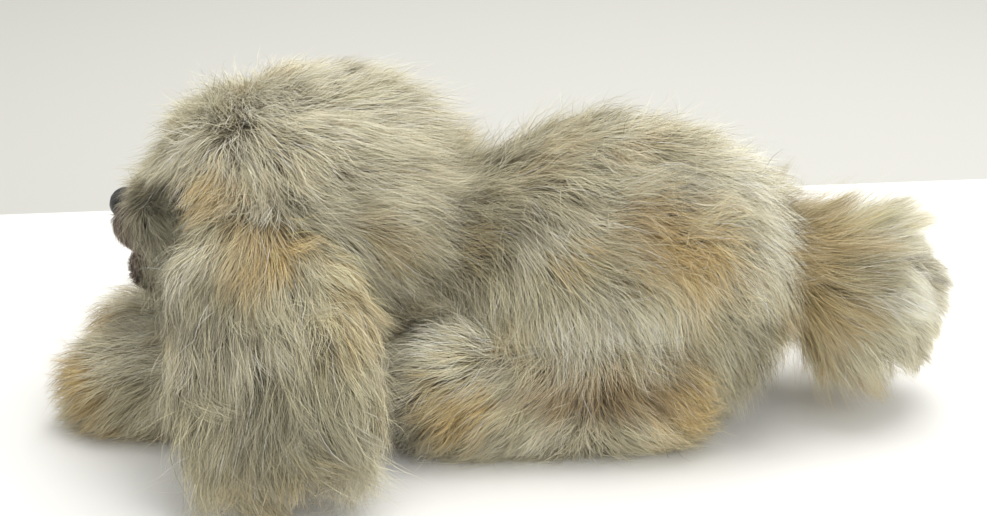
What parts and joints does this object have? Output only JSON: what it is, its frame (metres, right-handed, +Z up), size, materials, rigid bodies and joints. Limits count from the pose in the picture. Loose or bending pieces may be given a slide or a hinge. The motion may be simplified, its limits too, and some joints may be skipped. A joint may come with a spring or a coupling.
{
  "type": "hand puppet",
  "caption": "Long-haired full-body dog hand puppet lying on its belly, with a moving mouth, turning head, hanging ears, four soft legs and a bushy tail.",
  "frame": {"origin": "on the table, under the middle of the puppet's length and width", "axes": "+X towards the tail, +Y to the dog's right, +Z up"},
  "size_m": [0.44, 0.251, 0.1711],
  "materials": {
    "long_pile_fur": "matte",
    "short_plush": "matte",
    "ear_lining_plush": "matte",
    "stuffing": "matte",
    "lining_cloth": "matte",
    "mouth_felt": "matte",
    "tongue_felt": "matte",
    "mouth_board": "matte",
    "nose_plastic": "satin",
    "eye_plastic": "gloss",
    "washer_plastic": "satin"
  },
  "bodies": {
    "body": {"back_panel_left": "long_pile_fur", "back_panel_right": "long_pile_fur", "belly_panel": "long_pile_fur", "back_stuffing": "stuffing", "sleeve_lining_upper": "lining_cloth", "sleeve_lining_lower": "lining_cloth", "opening_hem": "lining_cloth"},
    "neck": {"neck_fur": "long_pile_fur", "neck_lining": "lining_cloth"},
    "head": {"head_fur_left": "long_pile_fur", "head_fur_right": "long_pile_fur", "muzzle_fur": "short_plush", "head_stuffing": "stuffing", "muzzle_stuffing": "stuffing", "head_lining": "lining_cloth", "finger_pocket": "lining_cloth", "upper_mouth_board": "mouth_board", "palate_lining": "mouth_felt", "nose": "nose_plastic", "nose_washer": "washer_plastic", "eye_left": "eye_plastic", "eye_right": "eye_plastic", "eye_washer_left": "washer_plastic", "eye_washer_right": "washer_plastic"},
    "jaw": {"chin_fur": "short_plush", "chin_stuffing": "stuffing", "thumb_pocket": "lining_cloth", "lower_mouth_board": "mouth_board", "mouth_floor_lining": "mouth_felt", "tongue": "tongue_felt"},
    "ear_left": {"ear_fur_left": "long_pile_fur", "ear_lining_left": "ear_lining_plush"},
    "ear_right": {"ear_fur_right": "long_pile_fur", "ear_lining_right": "ear_lining_plush"},
    "foreleg_left": {"foreleg_fur_left": "long_pile_fur", "foreleg_stuffing_left": "stuffing"},
    "foreleg_right": {"foreleg_fur_right": "long_pile_fur", "foreleg_stuffing_right": "stuffing"},
    "hind_leg_left": {"hind_leg_fur_left": "long_pile_fur", "hind_leg_stuffing_left": "stuffing"},
    "hind_leg_right": {"hind_leg_fur_right": "long_pile_fur", "hind_leg_stuffing_right": "stuffing"},
    "tail": {"tail_fur": "long_pile_fur", "tail_stuffing": "stuffing"}
  },
  "joints": [
    {"name": "head_turn", "type": "hinge", "parent": "body", "child": "neck", "pos_m": [-0.062, 0, 0.088], "axis": [0, 0, 1], "range_deg": [-25, 25]},
    {"name": "head_nod", "type": "hinge", "parent": "neck", "child": "head", "pos_m": [-0.062, 0, 0.088], "axis": [0, 1, 0], "range_deg": [0, 26]},
    {"name": "mouth_open", "type": "hinge", "parent": "head", "child": "jaw", "pos_m": [-0.15, 0, 0.088], "axis": [0, -1, 0], "range_deg": [0, 22], "stiffness_Nm_per_rad": 0.02, "springref_deg": -34.38},
    {"name": "ear_left_lift", "type": "hinge", "parent": "head", "child": "ear_left", "pos_m": [-0.123, -0.053, 0.134], "axis": [-1, 0, 0], "range_deg": [0, 70]},
    {"name": "ear_right_lift", "type": "hinge", "parent": "head", "child": "ear_right", "pos_m": [-0.123, 0.053, 0.134], "axis": [1, 0, 0], "range_deg": [0, 70]},
    {"name": "foreleg_left_splay", "type": "hinge", "parent": "body", "child": "foreleg_left", "pos_m": [-0.05, -0.026, 0.022], "axis": [0, 0, 1], "range_deg": [0, 35]},
    {"name": "foreleg_right_splay", "type": "hinge", "parent": "body", "child": "foreleg_right", "pos_m": [-0.05, 0.026, 0.022], "axis": [0, 0, -1], "range_deg": [0, 35]},
    {"name": "hind_leg_left_splay", "type": "hinge", "parent": "body", "child": "hind_leg_left", "pos_m": [0.084, -0.06, 0.034], "axis": [0, 0, 1], "range_deg": [0, 40]},
    {"name": "hind_leg_right_splay", "type": "hinge", "parent": "body", "child": "hind_leg_right", "pos_m": [0.084, 0.06, 0.034], "axis": [0, 0, -1], "range_deg": [0, 40]},
    {"name": "tail_wag", "type": "hinge", "parent": "body", "child": "tail", "pos_m": [0.135, 0, 0.076], "axis": [0, 0, 1], "range_deg": [-35, 35]}
  ]
}
